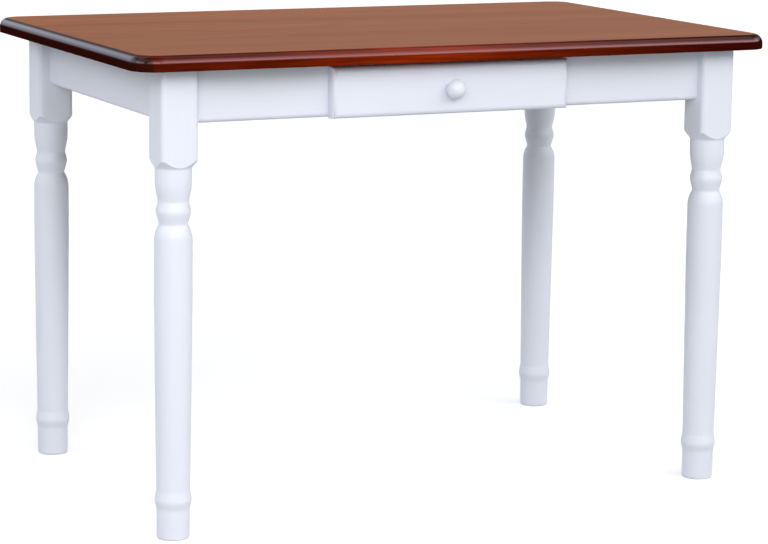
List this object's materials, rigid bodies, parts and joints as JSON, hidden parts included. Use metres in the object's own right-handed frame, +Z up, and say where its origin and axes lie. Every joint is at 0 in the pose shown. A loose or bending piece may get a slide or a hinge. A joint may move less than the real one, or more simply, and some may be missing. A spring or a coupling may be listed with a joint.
{
  "type": "kitchen table",
  "caption": "Rectangular kitchen table of solid pine: stained top with a moulded edge, white painted aprons and turned legs, and a drawer with a round knob.",
  "frame": {"origin": "on the floor, under the middle of the table top", "axes": "+X right along the table's length seen from the drawer's side, +Y from the drawer's side to the back, +Z up"},
  "size_m": [1.104, 0.7, 0.75],
  "materials": {
    "stained_pine": "pine stained red-brown under glossy lacquer",
    "white_paint": "pine under satin white paint",
    "bare_pine": "planed bare pine",
    "beech": "bare beech dowel",
    "hardboard": "thin smooth board",
    "zinc_steel": "zinc plated"
  },
  "bodies": {
    "table": {"apron_back": "white_paint", "apron_dowels": "beech", "apron_front": "white_paint", "apron_left": "white_paint", "apron_right": "white_paint", "bolt_nuts": "zinc_steel", "bolt_washers": "zinc_steel", "bracket_screws": "zinc_steel", "corner_block_back_left": "bare_pine", "corner_block_back_right": "bare_pine", "corner_block_front_left": "bare_pine", "corner_block_front_right": "bare_pine", "corner_block_screws": "zinc_steel", "drawer_stop": "bare_pine", "hanger_bolts": "zinc_steel", "kicker_left": "bare_pine", "kicker_right": "bare_pine", "kicker_screws": "zinc_steel", "leg_back_left": "white_paint", "leg_back_right": "white_paint", "leg_front_left": "white_paint", "leg_front_right": "white_paint", "runner_dowels": "beech", "runner_left": "bare_pine", "runner_right": "bare_pine", "stop_screws": "zinc_steel", "table_top": "stained_pine", "top_brackets": "zinc_steel"},
    "drawer": {"drawer_front": "white_paint", "drawer_side_left": "bare_pine", "drawer_side_right": "bare_pine", "drawer_back": "bare_pine", "drawer_bottom": "hardboard", "drawer_front_dowels": "beech", "drawer_bottom_screws": "zinc_steel", "knob": "white_paint", "knob_screw": "zinc_steel"}
  },
  "joints": [
    {"name": "drawer_slide", "type": "slide", "parent": "table", "child": "drawer", "axis": [0, -1, 0], "range_m": [0, 0.28]}
  ]
}
